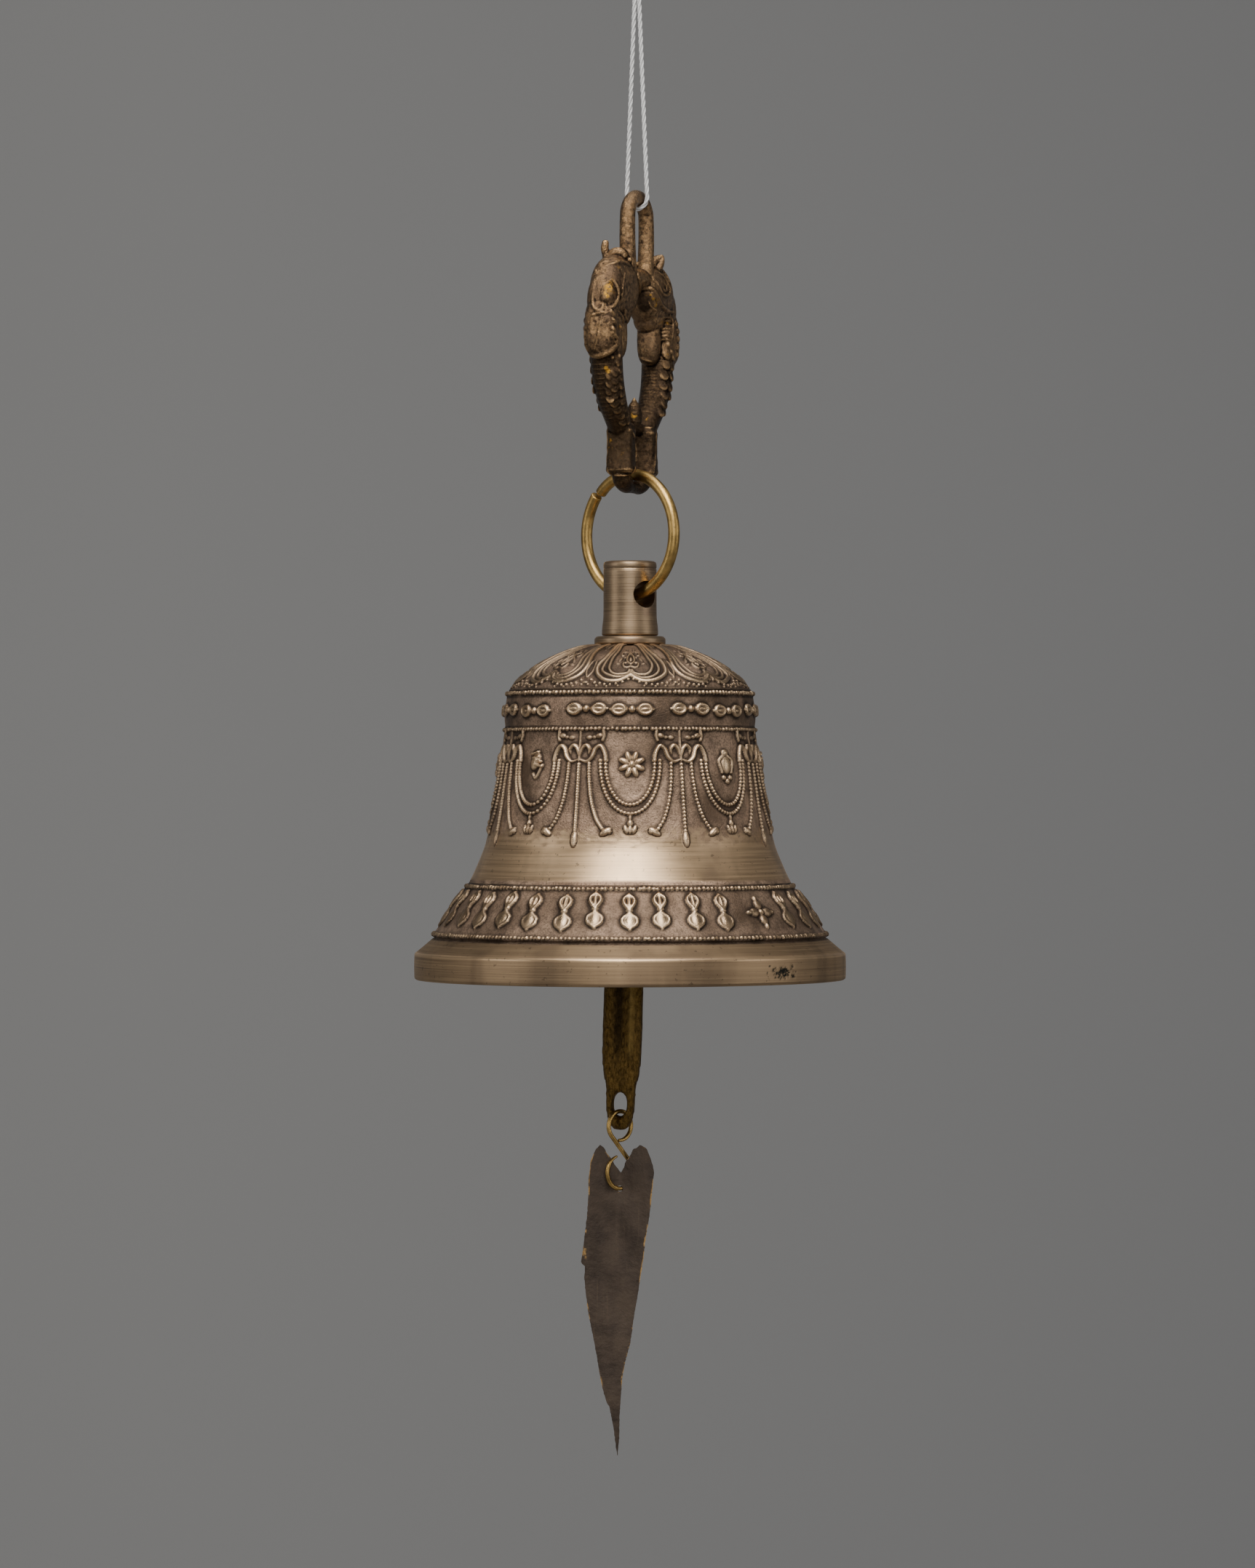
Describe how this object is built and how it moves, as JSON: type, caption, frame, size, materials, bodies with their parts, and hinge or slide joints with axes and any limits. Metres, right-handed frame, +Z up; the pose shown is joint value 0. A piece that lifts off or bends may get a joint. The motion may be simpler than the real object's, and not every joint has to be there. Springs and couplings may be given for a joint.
{
  "type": "temple bell",
  "caption": "Cast bronze temple bell on a split ring and a makara hanger with a cord loop; a flat clapper carries a wind leaf on an S-hook.",
  "frame": {"origin": "top of the cord's knot, the point that holds the bell up; the bell's own axis is 1.9 mm to its left", "axes": "+Z up along the bell's axis, -Y towards the front of the bell, where the middle swag and rosette are"},
  "size_m": [0.12, 0.12, 0.4198],
  "materials": {
    "cord": "twisted cotton, matt",
    "cast_bronze": "cast bronze, brown patina in the recesses, rubbed bright on the relief",
    "turned_bronze": "turned, worn satin",
    "hanger_bronze": "dark brown cast bronze with gilt spots",
    "ring_brass": "drawn wire, satin",
    "dark_brass": "forged, dark gold with black scale",
    "leaf_copper": "thin sheet, dark brown with bright scratched edges",
    "inner_iron": "forged iron, dull"
  },
  "bodies": {
    "cord": {"suspension_cord": "cord", "cord_knot": "cord"},
    "hanger": {"hanger_eye": "hanger_bronze", "hanger_shoulder": "hanger_bronze", "hanger_head_near": "hanger_bronze", "hanger_head_far": "hanger_bronze", "hanger_serpent_near": "hanger_bronze", "hanger_serpent_far": "hanger_bronze", "hanger_jewel": "hanger_bronze", "hanger_stirrup": "hanger_bronze"},
    "ring": {"split_ring": "ring_brass"},
    "bell": {"bell_shell": "cast_bronze", "crown_collar": "turned_bronze", "bell_stem": "turned_bronze", "stem_washer": "inner_iron", "clapper_staple": "inner_iron"},
    "link": {"clapper_link": "inner_iron"},
    "clapper": {"clapper": "dark_brass"},
    "hook": {"s_hook": "ring_brass"},
    "leaf": {"wind_leaf": "leaf_copper"}
  },
  "joints": [
    {"name": "hanger_swing", "type": "hinge", "parent": "cord", "child": "hanger", "pos_m": [0, 0, -0.0768], "axis": [0.9063, -0.4226, 0], "range_deg": [-25, 25]},
    {"name": "ring_swing", "type": "hinge", "parent": "hanger", "child": "ring", "pos_m": [-0.0019, 0, -0.1511], "axis": [-0.4226, -0.9063, 0], "range_deg": [-25, 25]},
    {"name": "bell_swing", "type": "hinge", "parent": "ring", "child": "bell", "pos_m": [-0.0019, 0, -0.1811], "axis": [0.6157, -0.788, 0], "range_deg": [-30, 30]},
    {"name": "link_swing", "type": "hinge", "parent": "bell", "child": "link", "pos_m": [-0.0019, 0, -0.2144], "axis": [0.891, -0.454, 0], "range_deg": [-28, 28]},
    {"name": "clapper_swing", "type": "hinge", "parent": "link", "child": "clapper", "pos_m": [-0.0019, 0, -0.228], "axis": [-0.454, -0.891, 0], "range_deg": [-14, 14]},
    {"name": "hook_swing", "type": "hinge", "parent": "clapper", "child": "hook", "pos_m": [-0.00472, 0, -0.3288], "axis": [-0.6428, 0.766, 0], "range_deg": [-30, 30]},
    {"name": "leaf_swing", "type": "hinge", "parent": "hook", "child": "leaf", "pos_m": [-0.00472, 0, -0.3417], "axis": [-0.6428, 0.766, 0], "range_deg": [-25, 25]}
  ]
}
